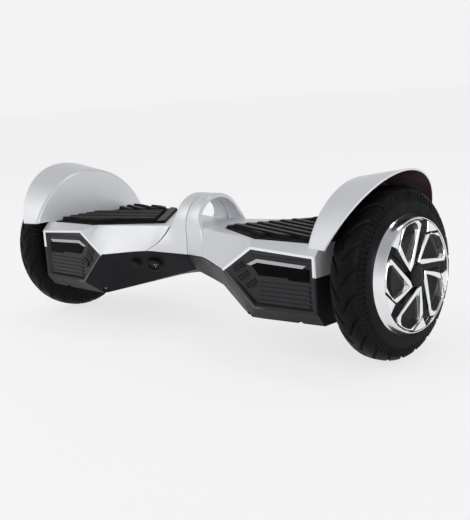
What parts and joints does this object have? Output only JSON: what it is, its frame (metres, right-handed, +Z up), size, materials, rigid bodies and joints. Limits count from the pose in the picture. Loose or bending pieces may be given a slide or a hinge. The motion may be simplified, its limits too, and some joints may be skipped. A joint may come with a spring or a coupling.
{
  "type": "self balancing hoverboard",
  "caption": "Two-wheeled self balancing board with twisting halves, a centre carry handle, mudguards, ribbed foot mats and hub motor wheels.",
  "frame": {"origin": "on the floor under the middle of the board, at the seam between the two halves", "axes": "+X along the wheel axles to the right wheel, -Y the front that carries the charging socket, +Z up"},
  "size_m": [0.685, 0.22, 0.23],
  "materials": {
    "silver_paint": "satin metallic paint on moulded plastic",
    "black_plastic": "matte, fine grain",
    "mat_rubber": "matte rubber",
    "circuit_board": "solder mask",
    "cast_frame": "cast and blasted",
    "steel": "machined",
    "screw_steel": "blackened",
    "copper_wire": "enamelled copper",
    "polished_rim": "polished",
    "tyre_rubber": "matte rubber",
    "chrome": "mirror",
    "cap_plastic": "satin",
    "lamp_plastic": "satin",
    "lamp_gloss": "high gloss, dark tint",
    "trim_paint": "satin",
    "battery_wrap": "heat-shrink film",
    "socket_metal": "nickel plated",
    "cable_sleeve": "satin"
  },
  "bodies": {
    "left_half": {"left_top_cover": "silver_paint", "left_bottom_cover": "black_plastic", "left_handle": "silver_paint", "left_fender": "silver_paint", "left_foot_sensor_board": "circuit_board", "left_frame": "cast_frame", "left_axle_clamp": "steel", "left_clamp_screws": "screw_steel", "left_motor_axle": "steel", "left_stator_core": "steel", "left_stator_windings": "copper_wire", "left_lamp_frames": "lamp_plastic", "left_lamp_lenses": "lamp_gloss", "left_lamp_trims": "trim_paint", "left_led_boards": "circuit_board", "left_cover_screws": "screw_steel", "left_motor_cable": "cable_sleeve", "pivot_bearings": "steel", "battery_pack": "battery_wrap", "battery_bracket": "steel", "charge_port": "socket_metal", "button_switch": "cap_plastic", "link_cable": "cable_sleeve"},
    "right_half": {"right_top_cover": "silver_paint", "right_bottom_cover": "black_plastic", "right_handle": "silver_paint", "right_fender": "silver_paint", "right_foot_sensor_board": "circuit_board", "right_frame": "cast_frame", "right_axle_clamp": "steel", "right_clamp_screws": "screw_steel", "right_motor_axle": "steel", "right_stator_core": "steel", "right_stator_windings": "copper_wire", "right_lamp_frames": "lamp_plastic", "right_lamp_lenses": "lamp_gloss", "right_lamp_trims": "trim_paint", "right_led_boards": "circuit_board", "right_cover_screws": "screw_steel", "right_motor_cable": "cable_sleeve", "pivot_shaft": "steel", "pivot_circlip": "screw_steel", "control_board": "circuit_board"},
    "left_wheel": {"left_rim": "polished_rim", "left_magnets": "steel", "left_motor_cover": "cast_frame", "left_wheel_bearings": "steel", "left_tyre": "tyre_rubber", "left_spoke_plate": "chrome", "left_hub_cap": "cap_plastic"},
    "left_mat": {"left_foot_mat": "mat_rubber"},
    "right_wheel": {"right_rim": "polished_rim", "right_magnets": "steel", "right_motor_cover": "cast_frame", "right_wheel_bearings": "steel", "right_tyre": "tyre_rubber", "right_spoke_plate": "chrome", "right_hub_cap": "cap_plastic"},
    "right_mat": {"right_foot_mat": "mat_rubber"},
    "power_button": {"power_button": "cap_plastic"}
  },
  "joints": [
    {"name": "center_twist", "type": "hinge", "parent": "left_half", "child": "right_half", "pos_m": [0, 0, 0.105], "axis": [1, 0, 0], "range_deg": [-12, 12]},
    {"name": "left_wheel_spin", "type": "hinge", "parent": "left_half", "child": "left_wheel", "pos_m": [-0.306, 0, 0.105], "axis": [1, 0, 0], "continuous": true},
    {"name": "right_wheel_spin", "type": "hinge", "parent": "right_half", "child": "right_wheel", "pos_m": [0.306, 0, 0.105], "axis": [1, 0, 0], "continuous": true},
    {"name": "left_mat_press", "type": "slide", "parent": "left_half", "child": "left_mat", "axis": [0, 0, -1], "range_m": [0, 0.0014], "stiffness_N_per_m": 20000, "springref_m": -0.0004},
    {"name": "right_mat_press", "type": "slide", "parent": "right_half", "child": "right_mat", "axis": [0, 0, -1], "range_m": [0, 0.0014], "stiffness_N_per_m": 20000, "springref_m": -0.0004},
    {"name": "power_button_press", "type": "slide", "parent": "left_half", "child": "power_button", "axis": [-0.3595, 0.7503, 0.5548], "range_m": [0, 0.001], "stiffness_N_per_m": 900, "springref_m": -0.0004}
  ]
}
